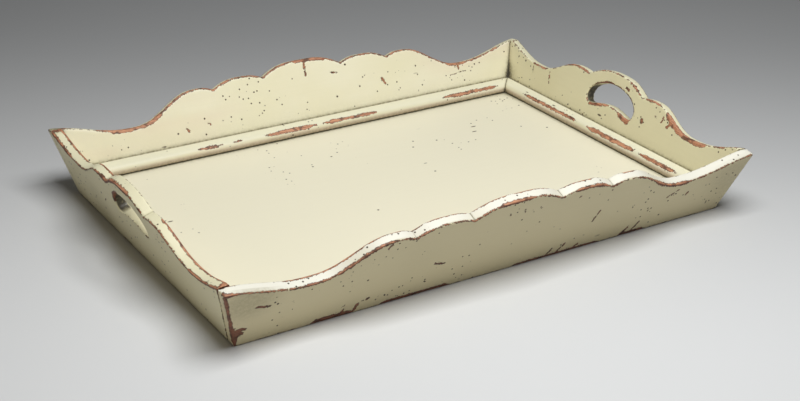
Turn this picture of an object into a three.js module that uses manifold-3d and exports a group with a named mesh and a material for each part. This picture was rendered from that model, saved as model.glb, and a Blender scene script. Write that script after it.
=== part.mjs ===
// A painted wooden serving tray: four splayed boards with scalloped tops, a floor panel let into
// grooves, mitred quarter-round moulding round the floor, and the nails and pins that hold it.
//
// Frame: millimetres, +Z up, +X along the tray's length. The origin is under the middle of the tray,
// on the surface that the boards' bottom edges stand on.

import * as THREE from "three";
import { mergeVertices } from "three/addons/utils/BufferGeometryUtils.js";
import Module from "manifold-3d";

const wasm = await Module();
wasm.setup();

// ---------------------------------------------------------------- driving dimensions

const BASE_LENGTH = 660; // outside of the frame where it stands, along X
const BASE_WIDTH = 437; // outside of the frame where it stands, along Y
const BOARD = 14; // thickness of all four boards, square to their faces
const SIDE_SPLAY = 21; // degrees that the long sides lean out
const END_SPLAY = 16.5; // degrees that the short ends lean out
const CORNER_HEIGHT = 79; // height of the four outer corner tips
const CORNER_RISE = 0.13; // slope of the sanded corner pads, rising inwards both ways

// Top edge of a long side, from the middle outwards: heights are on the outer face, and a slope is the
// rise over the run where a stretch arrives at the knot and where it leaves it.
const SIDE_EDGE = [
  { at: 0, height: 104, arrive: 0, leave: 0 }, // crest of the wide middle lobe
  { at: 59, height: 91, arrive: -0.55, leave: 0.4 }, // inner cusp
  { at: 93, height: 97, arrive: 0, leave: 0 }, // crest of the small lobe
  { at: 132, height: 87.5, arrive: -0.5, leave: 0.45 }, // outer cusp
  { at: 154, height: 92.5, arrive: 0, leave: 0 }, // shoulder
  { at: 200, height: 77.5, arrive: -0.6, leave: -0.6 }, // turn of the ogee
  { at: 250, height: 61.5, arrive: 0, leave: 0 }, // bottom of the dip
];
const SIDE_TIP_SLOPE = 0.1;

// Top edge of a short end, from the middle outwards.
const END_EDGE = [
  { at: 0, height: 100, arrive: 0, leave: 0 }, // crest of the lobe over the hand-hold
  { at: 55, height: 84.5, arrive: -0.6, leave: 0.3 }, // cusp
  { at: 80, height: 87.5, arrive: 0, leave: 0 }, // shoulder
  { at: 112, height: 77.5, arrive: -0.5, leave: -0.5 }, // turn of the ogee
  { at: 157, height: 64.5, arrive: 0, leave: 0 }, // bottom of the dip
];
const END_TIP_SLOPE = 0.3;
const HANDLE_SHARE = 0.4; // share of a stretch's run that each of its Bezier handles takes

// Hand-hold: a bean with an arched top, round ends that drop, and a bottom edge that lifts in the middle.
const HOLD = { halfWidth: 46.5, shoulder: 60, top: 84, lobeAt: 39, lobeBottom: 51, middleBottom: 57 };
const HOLD_ARCH = 0.56; // handle of the arched top, as a share of the half width
const HOLD_LOBE = 0.7; // handles of the bottom edge, as shares of the place of its lobes
const HOLD_MIDDLE = 0.5;
const CUTTER_PAST = 14; // how far the hand-hold's cutter runs past both faces of a board

const PANEL = 6; // thickness of the floor panel
const FLOOR_HEIGHT = 20; // top of the floor panel above the surface the tray stands on
const TONGUE = 5; // how far the panel reaches into each board
const PANEL_FIT = 0.3; // clearance all round the panel in its groove

const MOULDING_WIDTH = 15; // along the floor
const MOULDING_HEIGHT = 14; // up the board
const MOULDING_NOSE = 0.8; // share of the height at which the nose turns over
const MOULDING_CROWN = 0.75; // share of the reach over which the crown is flat

const GLUE_GAP = 0.3; // between glued faces
const NAIL_FIT = 0.3; // round each nail and pin in its hole

const NAIL = { length: 38, shank: 0.8, head: 1.3, headDepth: 1.2, point: 3 };
const NAIL_SINK = 1.5; // how far a nail head is set below the face
const NAIL_HEIGHTS = [8, 36, 60];

const PIN = { length: 22, shank: 0.6, head: 0.9, headDepth: 0.8, point: 1.6 };
const PIN_SINK = 1; // how far a pin head is set below the moulding
const PIN_HEIGHT = 7; // above the floor
const PIN_MARGIN = 45; // from a moulding's floor corner to its first pin
const SIDE_PINS = 5;
const END_PINS = 3;

const EDGE_DIVISIONS = 7; // chords in each stretch of a top edge
const NOSE_DIVISIONS = 10; // chords round a moulding's nose
const NAIL_SIDES = 10; // flats round a nail, a pin or a bore
const WELD = 1e-4; // points closer than this are one point
const BEYOND = 60; // how far an outline runs past what is trimmed off it
const BORE_MOUTH = 10; // how far a bore runs out past the head
const HUGE = 1600; // size of the blocks that trim a board

const colors = { paint: 0xd8d2ae, floor: 0xe2ddbf, steel: 0x8c8c88 };

// ---------------------------------------------------------------- worked-out sizes

const tan = (degrees) => Math.tan(THREE.MathUtils.degToRad(degrees));
const cos = (degrees) => Math.cos(THREE.MathUtils.degToRad(degrees));
const sin = (degrees) => Math.sin(THREE.MathUtils.degToRad(degrees));

const floorBottom = FLOOR_HEIGHT - PANEL;
const sideThrough = BOARD / cos(SIDE_SPLAY); // a long side's thickness measured level
const endThrough = BOARD / cos(END_SPLAY); // a short end's thickness measured level
const outerX = (height) => BASE_LENGTH / 2 + height * tan(END_SPLAY);
const outerY = (height) => BASE_WIDTH / 2 + height * tan(SIDE_SPLAY);
const innerX = (height) => outerX(height) - endThrough;
const innerY = (height) => outerY(height) - sideThrough;
const panelHalfLength = innerX(floorBottom) + TONGUE;
const panelHalfWidth = innerY(floorBottom) + TONGUE;

// What a moulding strip needs to know: its board's splay, where its floor line meets its neighbours',
// how far its crown reaches past that corner each way, the foot and splay of the face that stops its
// ends, and its pins.
const floorCornerX = innerX(FLOOR_HEIGHT) - MOULDING_WIDTH;
const floorCornerY = innerY(FLOOR_HEIGHT) - MOULDING_WIDTH;
const endReach = MOULDING_WIDTH + MOULDING_HEIGHT * tan(END_SPLAY);
const sideReach = MOULDING_WIDTH + MOULDING_HEIGHT * tan(SIDE_SPLAY);
const longRun = {
  splay: SIDE_SPLAY,
  cornerAcross: floorCornerX,
  cornerOut: floorCornerY,
  crownAcross: endReach,
  crownOut: sideReach,
  stop: innerX(0) - GLUE_GAP,
  stopSplay: END_SPLAY,
  pins: SIDE_PINS,
};
const shortRun = {
  splay: END_SPLAY,
  cornerAcross: floorCornerY,
  cornerOut: floorCornerX,
  crownAcross: sideReach,
  crownOut: endReach,
  stop: innerY(0) - GLUE_GAP,
  stopSplay: SIDE_SPLAY,
  pins: END_PINS,
};

// ---------------------------------------------------------------- solids, cuts and meshes

function solidOf(geometry) {
  const bare = geometry.clone();
  bare.deleteAttribute("normal");
  bare.deleteAttribute("uv");
  const merged = mergeVertices(bare, WELD);
  return new wasm.Manifold(
    new wasm.Mesh({
      numProp: 3,
      vertProperties: new Float32Array(merged.attributes.position.array),
      triVerts: new Uint32Array(merged.index.array),
    })
  );
}

function geometryOf(solid) {
  const mesh = solid.getMesh();
  const geometry = new THREE.BufferGeometry();
  geometry.setAttribute("position", new THREE.BufferAttribute(mesh.vertProperties, 3));
  geometry.setIndex(new THREE.BufferAttribute(mesh.triVerts, 1));
  geometry.computeVertexNormals();
  return geometry;
}

// Takes off everything on the far side of a plane, given a point on it and the normal that points away.
function trim(solid, point, normal) {
  const away = normal.clone().normalize();
  const block = new THREE.BoxGeometry(HUGE, HUGE, HUGE);
  const turn = new THREE.Quaternion().setFromUnitVectors(new THREE.Vector3(0, 0, 1), away);
  block.translate(0, 0, HUGE / 2);
  block.applyQuaternion(turn);
  block.translate(point.x, point.y, point.z);
  return solid.subtract(solidOf(block));
}

function paintedWood(color) {
  return new THREE.MeshStandardMaterial({ color, roughness: 0.55, metalness: 0 });
}

function steel() {
  return new THREE.MeshStandardMaterial({ color: colors.steel, roughness: 0.45, metalness: 0.9 });
}

function addMesh(parent, name, geometry, material) {
  const mesh = new THREE.Mesh(geometry, material);
  mesh.name = name;
  parent.add(mesh);
  return mesh;
}

// ---------------------------------------------------------------- outlines

// Smooth stretch from one knot to the next.
function addStretch(shape, from, to, slopeFrom, slopeTo) {
  const reach = HANDLE_SHARE * (to.at - from.at);
  shape.bezierCurveTo(
    from.at + reach,
    from.height + reach * slopeFrom,
    to.at - reach,
    to.height - reach * slopeTo,
    to.at,
    to.height
  );
}

// Outline of a board on its outer face. The knots give the half from the middle outwards and the
// other half mirrors it. Heights become distances up the sloping face.
function boardOutline(knots, splay) {
  const mirrored = knots.map((knot) => ({ ...knot, at: -knot.at, arrive: -knot.leave, leave: -knot.arrive }));
  const all = [...mirrored.slice(1).reverse(), ...knots];
  const first = all[0];
  const last = all[all.length - 1];
  const shape = new THREE.Shape();
  shape.moveTo(first.at - BEYOND, -BEYOND);
  shape.lineTo(first.at - BEYOND, first.height);
  shape.lineTo(first.at, first.height);
  for (let i = 1; i < all.length; i += 1) {
    addStretch(shape, all[i - 1], all[i], all[i - 1].leave, all[i].arrive);
  }
  shape.lineTo(last.at + BEYOND, last.height);
  shape.lineTo(last.at + BEYOND, -BEYOND);
  shape.closePath();
  return slopingShape(shape, splay);
}

function slopingShape(shape, splay) {
  const points = shape.getPoints(EDGE_DIVISIONS).map((p) => new THREE.Vector2(p.x, p.y / cos(splay)));
  return new THREE.Shape(points);
}

function holdOutline(splay) {
  const { halfWidth, shoulder, top, lobeAt, lobeBottom, middleBottom } = HOLD;
  const halfway = (shoulder + top) / 2;
  const arch = halfWidth * HOLD_ARCH;
  const lobe = lobeAt * HOLD_LOBE;
  const middle = lobeAt * HOLD_MIDDLE;
  const shape = new THREE.Shape();
  shape.moveTo(halfWidth, shoulder);
  shape.bezierCurveTo(halfWidth, halfway, arch, top, 0, top);
  shape.bezierCurveTo(-arch, top, -halfWidth, halfway, -halfWidth, shoulder);
  shape.quadraticCurveTo(-halfWidth, lobeBottom, -lobeAt, lobeBottom);
  shape.bezierCurveTo(-lobe, lobeBottom, -middle, middleBottom, 0, middleBottom);
  shape.bezierCurveTo(middle, middleBottom, lobe, lobeBottom, lobeAt, lobeBottom);
  shape.quadraticCurveTo(halfWidth, lobeBottom, halfWidth, shoulder);
  return slopingShape(shape, splay);
}

// ---------------------------------------------------------------- boards

// Every board is made as the one in front: its outer face looks along -Y, leaning out by splay, and its
// foot is at -stand. The group that holds it turns it to its own side.
function leaningSolid(outline, splay, stand, depth, lift) {
  const geometry = new THREE.ExtrudeGeometry(outline, { depth, bevelEnabled: false, steps: 1 });
  geometry.translate(0, 0, lift - depth);
  geometry.rotateX(THREE.MathUtils.degToRad(90 + splay));
  geometry.translate(0, -stand, 0);
  return solidOf(geometry);
}

// Sands the tops of the two corners flat, so that the long sides and the ends run flush there.
function sandCorners(board, tipAcross, tipOut) {
  let sanded = board;
  for (const side of [-1, 1]) {
    const tip = new THREE.Vector3(side * tipAcross, -tipOut, CORNER_HEIGHT);
    const up = new THREE.Vector3(side * CORNER_RISE, -CORNER_RISE, 1);
    sanded = trim(sanded, tip, up);
  }
  return sanded;
}

function trimEnds(board, foot, splay) {
  let trimmed = board;
  for (const side of [-1, 1]) {
    const point = new THREE.Vector3(side * foot, 0, 0);
    const away = new THREE.Vector3(side * cos(splay), 0, -sin(splay));
    trimmed = trim(trimmed, point, away);
  }
  return trimmed;
}

// Room for the floor panel, for a board that sees the panel reach across to each side and out to it.
function groove(across, out) {
  const room = new THREE.BoxGeometry(
    2 * (across + PANEL_FIT),
    2 * (out + PANEL_FIT),
    PANEL + 2 * PANEL_FIT
  );
  room.translate(0, 0, floorBottom + PANEL / 2);
  return solidOf(room);
}

const underside = new THREE.Vector3(0, 0, -1);
const origin = new THREE.Vector3();

function sideBoard() {
  const tip = { at: outerX(CORNER_HEIGHT), height: CORNER_HEIGHT, arrive: SIDE_TIP_SLOPE, leave: 0 };
  const outline = boardOutline([...SIDE_EDGE, tip], SIDE_SPLAY);
  let board = leaningSolid(outline, SIDE_SPLAY, BASE_WIDTH / 2, BOARD, 0);
  board = trim(board, origin, underside);
  board = trimEnds(board, BASE_LENGTH / 2, END_SPLAY);
  board = sandCorners(board, outerX(CORNER_HEIGHT), outerY(CORNER_HEIGHT));
  board = board.subtract(groove(panelHalfLength, panelHalfWidth));
  for (const place of nailPlaces()) {
    board = board.subtract(solidOf(placed(boreGeometry(NAIL), place)));
  }
  for (const place of pinPlaces(longRun)) {
    board = board.subtract(solidOf(placed(boreGeometry(PIN), place)));
  }
  return geometryOf(board);
}

function endBoard() {
  const meeting = innerY(CORNER_HEIGHT);
  const meetingHeight = CORNER_HEIGHT + CORNER_RISE * sideThrough;
  const tip = { at: meeting, height: meetingHeight, arrive: END_TIP_SLOPE, leave: 0 };
  const outline = boardOutline([...END_EDGE, tip], END_SPLAY);
  const cutterDepth = BOARD + 2 * CUTTER_PAST;
  const hold = leaningSolid(
    holdOutline(END_SPLAY),
    END_SPLAY,
    BASE_LENGTH / 2,
    cutterDepth,
    CUTTER_PAST
  );
  let board = leaningSolid(outline, END_SPLAY, BASE_LENGTH / 2, BOARD, 0);
  board = board.subtract(hold);
  board = trim(board, origin, underside);
  board = trimEnds(board, BASE_WIDTH / 2 - sideThrough - GLUE_GAP, SIDE_SPLAY);
  board = sandCorners(board, outerY(CORNER_HEIGHT), outerX(CORNER_HEIGHT));
  board = board.subtract(groove(panelHalfWidth, panelHalfLength));
  for (const place of nailPlacesInEnd()) {
    board = board.subtract(solidOf(placed(boreGeometry(NAIL), place)));
  }
  for (const place of pinPlaces(shortRun)) {
    board = board.subtract(solidOf(placed(boreGeometry(PIN), place)));
  }
  return geometryOf(board);
}

function panel() {
  const sheet = new THREE.BoxGeometry(2 * panelHalfLength, 2 * panelHalfWidth, PANEL);
  sheet.translate(0, 0, floorBottom + PANEL / 2);
  return sheet;
}

// ---------------------------------------------------------------- moulding

// Quarter-round section: "out" runs from the floor corner line towards the board, and "up" from the
// panel's top. The nose rises square from the floor and turns over into a crown that meets the board.
function mouldingSection(splay) {
  const reach = MOULDING_WIDTH + MOULDING_HEIGHT * tan(splay) - GLUE_GAP;
  const heel = MOULDING_WIDTH + GLUE_GAP * tan(splay) - GLUE_GAP;
  const section = new THREE.Shape();
  section.moveTo(0, GLUE_GAP);
  section.lineTo(heel, GLUE_GAP);
  section.lineTo(reach, MOULDING_HEIGHT);
  section.bezierCurveTo(
    reach * (1 - MOULDING_CROWN),
    MOULDING_HEIGHT,
    0,
    MOULDING_HEIGHT * MOULDING_NOSE,
    0,
    GLUE_GAP
  );
  return section;
}

// Strip along the board in front, from mitre to mitre. Each mitre is the upright plane through the
// corner where the two floor lines meet and the corner where the two crown lines meet.
function mouldingStrip(run) {
  const geometry = new THREE.ExtrudeGeometry(mouldingSection(run.splay), {
    depth: 2 * (run.cornerAcross + BEYOND),
    bevelEnabled: false,
    steps: 1,
    curveSegments: NOSE_DIVISIONS,
  });
  geometry.translate(0, 0, -(run.cornerAcross + BEYOND));
  const along = new THREE.Vector3(-1, 0, 0);
  const out = new THREE.Vector3(0, -1, 0);
  const up = new THREE.Vector3(0, 0, 1);
  geometry.applyMatrix4(new THREE.Matrix4().makeBasis(out, up, along));
  geometry.translate(0, -run.cornerOut, FLOOR_HEIGHT);
  let strip = solidOf(geometry);
  for (const side of [-1, 1]) {
    const away = new THREE.Vector3(side * run.crownOut, run.crownAcross, 0).normalize();
    const corner = new THREE.Vector3(side * run.cornerAcross, -run.cornerOut, 0);
    strip = trim(strip, corner.addScaledVector(away, -GLUE_GAP / 2), away);
  }
  strip = trimEnds(strip, run.stop, run.stopSplay);
  for (const place of pinPlaces(run)) {
    strip = strip.subtract(solidOf(placed(boreGeometry(PIN), place)));
  }
  return geometryOf(strip);
}

// ---------------------------------------------------------------- nails and pins

// Turned profile about the nail's own axis, head at zero and point along +Y.
function turned(profile) {
  const points = profile.map(([radius, along]) => new THREE.Vector2(radius, along));
  return new THREE.LatheGeometry(points, NAIL_SIDES);
}

function nailGeometry(kind) {
  return turned([
    [0, 0],
    [kind.head, 0],
    [kind.head, kind.headDepth],
    [kind.shank, kind.headDepth],
    [kind.shank, kind.length - kind.point],
    [0, kind.length],
  ]);
}

function boreGeometry(kind) {
  return turned([
    [0, -BORE_MOUTH],
    [kind.head + NAIL_FIT, -BORE_MOUTH],
    [kind.head + NAIL_FIT, kind.headDepth + NAIL_FIT],
    [kind.shank + NAIL_FIT, kind.headDepth + NAIL_FIT],
    [kind.shank + NAIL_FIT, kind.length + NAIL_FIT],
    [0, kind.length + NAIL_FIT],
  ]);
}

// Turns a nail or its bore from +Y to its own heading about Z and moves it to its head.
function placed(geometry, place) {
  geometry.rotateZ(place.turn);
  geometry.translate(place.x, place.y, place.z);
  return geometry;
}

// Nails through the ends of a long side into the short ends, on the middle of their thickness.
function nailPlaces() {
  return [-1, 1].flatMap((side) =>
    NAIL_HEIGHTS.map((height) => ({
      side,
      x: side * (outerX(height) - endThrough / 2),
      y: -outerY(height) + NAIL_SINK,
      z: height,
      turn: 0,
    }))
  );
}

// The same nails as a short end sees them, coming in from both sides.
function nailPlacesInEnd() {
  return nailPlaces().map((place) => ({
    x: place.side * -place.y,
    y: -Math.abs(place.x),
    z: place.z,
    turn: (place.side * Math.PI) / 2,
  }));
}

function pinPlaces(run) {
  const half = run.cornerAcross - PIN_MARGIN;
  return Array.from({ length: run.pins }, (_, i) => ({
    x: -half + (2 * half * i) / (run.pins - 1),
    y: -(run.cornerOut + PIN_SINK),
    z: FLOOR_HEIGHT + PIN_HEIGHT,
    turn: Math.PI,
  }));
}

// ---------------------------------------------------------------- the tray

const sideGeometry = sideBoard();
const endGeometry = endBoard();
const sideStrip = mouldingStrip(longRun);
const endStrip = mouldingStrip(shortRun);

const edges = [
  { name: "front", board: "front_side", long: true, degrees: 0 },
  { name: "right", board: "right_end", long: false, degrees: 90 },
  { name: "back", board: "back_side", long: true, degrees: 180 },
  { name: "left", board: "left_end", long: false, degrees: -90 },
];

const tray = new THREE.Group();
addMesh(tray, "floor_panel", panel(), paintedWood(colors.floor));

for (const edge of edges) {
  const group = new THREE.Group();
  group.rotation.z = THREE.MathUtils.degToRad(edge.degrees);
  const run = edge.long ? longRun : shortRun;
  addMesh(group, edge.board, edge.long ? sideGeometry : endGeometry, paintedWood(colors.paint));
  addMesh(group, `${edge.name}_moulding`, edge.long ? sideStrip : endStrip, paintedWood(colors.paint));
  pinPlaces(run).forEach((place, i) => {
    addMesh(group, `${edge.name}_pin_${i + 1}`, placed(nailGeometry(PIN), place), steel());
  });
  if (edge.long) {
    nailPlaces().forEach((place, i) => {
      addMesh(group, `${edge.name}_nail_${i + 1}`, placed(nailGeometry(NAIL), place), steel());
    });
  }
  tray.add(group);
}

export default tray;
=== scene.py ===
import math

import bmesh
import bpy
import numpy as np
from mathutils import Matrix, Vector, kdtree


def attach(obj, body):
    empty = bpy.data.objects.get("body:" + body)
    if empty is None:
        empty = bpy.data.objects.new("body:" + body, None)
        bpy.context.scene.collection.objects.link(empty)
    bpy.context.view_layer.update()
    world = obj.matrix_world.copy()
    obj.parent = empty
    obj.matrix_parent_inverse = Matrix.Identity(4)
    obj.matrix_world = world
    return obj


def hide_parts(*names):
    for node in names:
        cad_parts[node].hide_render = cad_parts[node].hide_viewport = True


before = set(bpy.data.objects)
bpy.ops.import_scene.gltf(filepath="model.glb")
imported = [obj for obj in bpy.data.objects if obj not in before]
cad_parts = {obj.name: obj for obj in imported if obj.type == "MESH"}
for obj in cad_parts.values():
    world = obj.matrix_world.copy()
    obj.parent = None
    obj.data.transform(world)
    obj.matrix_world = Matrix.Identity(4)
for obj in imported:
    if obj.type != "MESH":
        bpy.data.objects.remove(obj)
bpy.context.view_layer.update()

# A painted wooden serving tray, worn by hand: four leaning boards, a floor panel and its moulding.
# Lengths in the tables are millimetres and become metres through MM; splays are degrees from upright.

MM = 0.001

# ------------------------------------------------------------------ sizes of the joinery

BASE_LENGTH = 660
BASE_WIDTH = 437
BOARD = 14
SIDE_SPLAY = 21
END_SPLAY = 16.5
CORNER_HEIGHT = 79
CORNER_RISE = 0.13  # the sanded corners climb this much for each millimetre inwards
FLOOR_HEIGHT = 20
PANEL = 6
FLOOR_TUCK = 1  # the floor's underside reaches this far past the boards' inner faces
MOULDING_WIDTH = 15
MOULDING_HEIGHT = 14
MOULDING_NOSE = 0.8  # how far the quarter-round's curve handles reach, as shares of its height
MOULDING_CROWN = 0.75  # and of its width
GLUE_GAP = 0.3
HANDLE_SHARE = 0.4  # how far an outline's curve handles reach towards the next knot
BEYOND = 60  # how far a plank reaches past its ends and its foot before it is sawn

# Knots of a top edge from the middle outwards: place, height, slope coming in, slope going out.
SIDE_EDGE = [
    (0, 104, 0, 0),
    (59, 91, -0.55, 0.4),
    (93, 97, 0, 0),
    (132, 87.5, -0.5, 0.45),
    (154, 92.5, 0, 0),
    (200, 77.5, -0.6, -0.6),
    (250, 61.5, 0, 0),
]
SIDE_TIP_SLOPE = 0.1
END_EDGE = [
    (0, 100, 0, 0),
    (55, 84.5, -0.6, 0.3),
    (80, 87.5, 0, 0),
    (112, 77.5, -0.5, -0.5),
    (157, 64.5, 0, 0),
]
END_TIP_SLOPE = 0.3

# Knots of the hand-hold: place, height, then the handle before and the handle after, as offsets.
HOLD_EDGE = [
    (46.5, 60, 0, -6, 0, 12),
    (0, 84, 26, 0, -26, 0),
    (-46.5, 60, 0, 12, 0, -6),
    (-39, 51, -5, 0, 11.7, 0),
    (0, 57, -19.5, 0, 19.5, 0),
    (39, 51, -11.7, 0, 5, 0),
]

# Where hands, knocks and sandpaper have gone through the paint. Each board's places run along it from
# its middle, with its outer face towards the reader. An arris row gives the arris, the stretch and how
# far in the paint has gone; a patch row gives the face, its two ends and its half width. Where no row
# says more, the paint has gone by BARE_ARRIS, and by JOINTED_ARRIS at the short boards' ends.
BARE_ARRIS = {
    "top inner": 1.0,
    "top outer": 1.6,
    "hold inner": 0.7,
    "hold outer": 0.3,
    "foot inner": 0.4,
    "foot outer": 0.9,
    "low end inner": 0.4,
    "low end outer": 1.3,
    "high end inner": 0.4,
    "high end outer": 1.2,
}
JOINTED_ARRIS = 0.1
FRONT_ARRISES = [
    ("top outer", -346, -225, 1.9),
    ("top outer", -225, -150, 2.6),
    ("top outer", -31, 18, 3.2),
    ("top outer", 18, 60, 1.7),
    ("top outer", 73, 126, 2.8),
    ("top outer", 197, 262, 3.2),
    ("top inner", -284, -186, 3.5),
    ("top inner", -190, -118, 2.8),
    ("top inner", -118, -62, 3.2),
    ("top inner", -58, -12, 2.2),
    ("top inner", -8, 48, 3.0),
    ("top inner", 62, 108, 3.2),
    ("top inner", 148, 174, 3.6),
    ("foot outer", -242, -190, 6.4),
    ("foot outer", -158, -68, 4.8),
    ("foot outer", 18, 143, 4.0),
    ("foot outer", 172, 214, 4.8),
    ("foot outer", 226, 240, 1.4),
    ("top outer", -360, -338, 3.4),
    ("top inner", -360, -330, 2.6),
    ("low end outer", 0, 90, 3.2),
    ("low end outer", 2, 34, 5.0),
]
FRONT_PATCHES = [
    ("outer", -334, 19, -329, 20, 5.2),
    ("outer", -327, 24, -321, 22, 1.8),
    ("outer", -329, 15, -324, 17, 2.2),
    ("outer", -190, 3, -187, 12, 1.9),
    ("outer", -206, 4, -204, 9, 1.7),
    ("outer", 66, 4, 72, 11, 1.4),
    ("outer", 80, 3, 89, 14, 1.4),
    ("outer", 176, 3, 185, 12, 1.4),
    ("outer", 191, 3, 200, 16, 1.3),
    ("outer", 106, 4, 110, 7, 1.5),
    ("outer", -313, 50, -297, 47, 1.0),
    ("outer", -97, 41, -84, 38, 1.0),
    ("outer", 119, 38, 126, 54, 1.0),
    ("outer", -176, 15, -175, 16, 1.4),
    ("outer", -166, 84, -162, 88, 1.5),
    ("outer", -206, 14, -204, 15, 1.0),
    ("outer", -270, 44, -268, 42, 0.9),
    ("outer", 20, 84, 22, 80, 0.9),
    ("outer", 30, 86, 32, 83, 0.9),
    ("outer", 8, 88, 9, 84, 0.9),
    ("outer", -12, 88, -11, 84, 0.9),
    ("outer", 84, 84, 86, 86, 1.1),
    ("outer", 230, 44, 246, 52, 0.7),
    ("outer", 206, 30, 214, 36, 0.7),
    ("outer", 262, 40, 264, 44, 0.8),
    ("inner", -260, 60, -252, 62, 0.8),
]
BACK_ARRISES = [
    ("top inner", -320, 300, 2.3),
    ("top outer", -320, 300, 4.6),
    ("top inner", 206, 281, 4.6),
    ("top outer", 16, 205, 5.0),
    ("top inner", -40, 14, 4.8),
    ("top outer", -60, 16, 6.0),
    ("top outer", -128, -62, 5.0),
    ("top outer", -226, -132, 5.0),
    ("top inner", -260, -224, 4.0),
    ("foot outer", -200, -130, 2.4),
    ("foot outer", 40, 130, 3.0),
    ("top inner", 330, 342, 2.4),
    ("low end outer", 0, 80, 1.6),
    ("high end outer", 0, 80, 1.8),
]
BACK_PATCHES = [
    ("inner", -4, 114, -3, 88, 1.5),
    ("inner", -243, 66, -244, 58, 1.2),
    ("inner", -40, 86, -50, 84, 0.8),
    ("inner", -230, 52, -255, 54, 0.5),
    ("inner", -118, 66, -122, 58, 1.5),
    ("inner", 178, 52, 175, 48, 1.6),
    ("inner", 148, 54, 145, 52, 1.2),
    ("outer", 20, 60, 34, 58, 1.0),
    ("outer", -150, 44, -140, 50, 0.9),
]
RIGHT_ARRISES = [
    ("top inner", 136, 174, 2.1),
    ("top inner", 52, 104, 2.7),
    ("top inner", -16, 42, 1.7),
    ("top inner", -54, -22, 2.3),
    ("top inner", -92, -60, 2.5),
    ("top inner", -184, -104, 5.4),
    ("top inner", -218, -194, 2.2),
    ("top outer", -140, -60, 2.0),
    ("top outer", -40, 40, 1.8),
    ("hold inner", 0, 38, 3.0),
    ("hold inner", -50, 0, 1.9),
    ("hold inner", 36, 50, 1.6),
    ("foot outer", -120, -40, 2.6),
    ("foot outer", 90, 150, 2.0),
    ("low end outer", 0, 80, 0.6),
    ("high end outer", 0, 80, 0.8),
]
RIGHT_PATCHES = [
    ("inner", -66, 63, -66, 61, 2.6),
    ("inner", -24, 57, -40, 53, 4.4),
    ("inner", -21, 63, -24, 54, 2.2),
    ("inner", 38, 53, 14, 57, 2.2),
    ("inner", -22, 92, -27, 90, 1.8),
    ("inner", 132, 66, 128, 52, 1.2),
    ("inner", 170, 68, 167, 56, 1.1),
    ("inner", -102, 78, -100, 70, 1.3),
    ("inner", -118, 76, -112, 68, 1.6),
    ("inner", -86, 76, -90, 74, 1.0),
    ("outer", -20, 30, -6, 28, 1.2),
    ("outer", 120, 60, 128, 64, 1.0),
]
LEFT_ARRISES = [
    ("top outer", 150, 208, 2.6),
    ("top outer", 206, 250, 2.6),
    ("top inner", 78, 240, 3.6),
    ("top inner", -240, -146, 3.3),
    ("top inner", -132, -24, 3.3),
    ("top outer", -236, -180, 3.0),
    ("top outer", -74, 24, 3.6),
    ("high end inner", 60, 90, 2.2),
    ("high end outer", 74, 90, 1.8),
    ("low end inner", 60, 90, 2.4),
    ("low end outer", 66, 90, 2.4),
    ("foot outer", -70, -40, 2.2),
    ("foot outer", -200, -150, 1.6),
    ("foot outer", -40, 30, 1.2),
]
LEFT_PATCHES = [
    ("outer", 112, 80, 112, 77, 1.7),
    ("outer", 60, 30, 70, 28, 0.9),
    ("outer", -90, 44, -84, 48, 0.9),
    ("inner", -120, 60, -112, 58, 0.9),
]

# Grime by board: the face, the place along it and up it, how far the grime reaches and how dark it is.
SMUDGES = {
    "front": [("outer", -322, 60, 56, 0.34), ("outer", -120, 60, 60, 0.1), ("outer", 335, 50, 70, 0.26)],
    "back": [("inner", 245, 84, 26, 0.2), ("inner", 348, 86, 22, 0.62), ("outer", 348, 86, 22, 0.62)],
    "right": [("inner", 224, 40, 34, 0.3)],
    "left": [
        ("outer", -120, 30, 60, 0.2),
        ("outer", -238, 82, 20, 0.5),
        ("inner", -238, 82, 20, 0.5),
        ("inner", 236, 80, 16, 0.35),
    ],
}

# Bare stretches on the nose of each moulding: from, to and half width.
MOULDING_PATCHES = {
    "front": [(-210, -120, 2.1), (-40, 30, 1.9), (120, 230, 2.2)],
    "back": [(139, 175, 3.0), (110, 125, 2.3), (0, 79, 3.3), (-93, -8, 2.9), (-297, -200, 3.2)],
    "right": [(34, 159, 2.7), (-83, 15, 3.4), (-167, -90, 2.9)],
    "left": [(-140, -80, 2.1), (20, 110, 2.2)],
}


def tan(degrees):
    return math.tan(math.radians(degrees))


def cos(degrees):
    return math.cos(math.radians(degrees))


def sin(degrees):
    return math.sin(math.radians(degrees))


END_THROUGH = BOARD / cos(END_SPLAY)
SIDE_THROUGH = BOARD / cos(SIDE_SPLAY)


def outer_x(height):
    return BASE_LENGTH / 2 + height * tan(END_SPLAY)


def outer_y(height):
    return BASE_WIDTH / 2 + height * tan(SIDE_SPLAY)


def inner_x(height):
    return outer_x(height) - END_THROUGH


def inner_y(height):
    return outer_y(height) - SIDE_THROUGH


FLOOR_CORNER_X = inner_x(FLOOR_HEIGHT) - MOULDING_WIDTH
FLOOR_CORNER_Y = inner_y(FLOOR_HEIGHT) - MOULDING_WIDTH
CROWN_HEIGHT = FLOOR_HEIGHT + MOULDING_HEIGHT

# ------------------------------------------------------------------ bench tools


def take(piece):
    """Leaves only this piece selected and active."""
    bpy.ops.object.select_all(action="DESELECT")
    piece.select_set(True)
    bpy.context.view_layer.objects.active = piece


def edit(piece):
    take(piece)
    bpy.ops.object.mode_set(mode="EDIT")
    bpy.ops.mesh.select_all(action="SELECT")


def done():
    bpy.ops.object.mode_set(mode="OBJECT")


def apply_modifier(piece, modifier):
    take(piece)
    bpy.ops.object.modifier_apply(modifier=modifier.name)


def saw(piece, point, away):
    """Cuts off what lies beyond a plane and closes the cut."""
    edit(piece)
    bpy.ops.mesh.bisect(plane_co=point, plane_no=away, use_fill=True, clear_outer=True)
    done()


def points_of(piece):
    flat = np.empty(len(piece.data.vertices) * 3)
    piece.data.vertices.foreach_get("co", flat)
    return flat.reshape(-1, 3)


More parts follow.
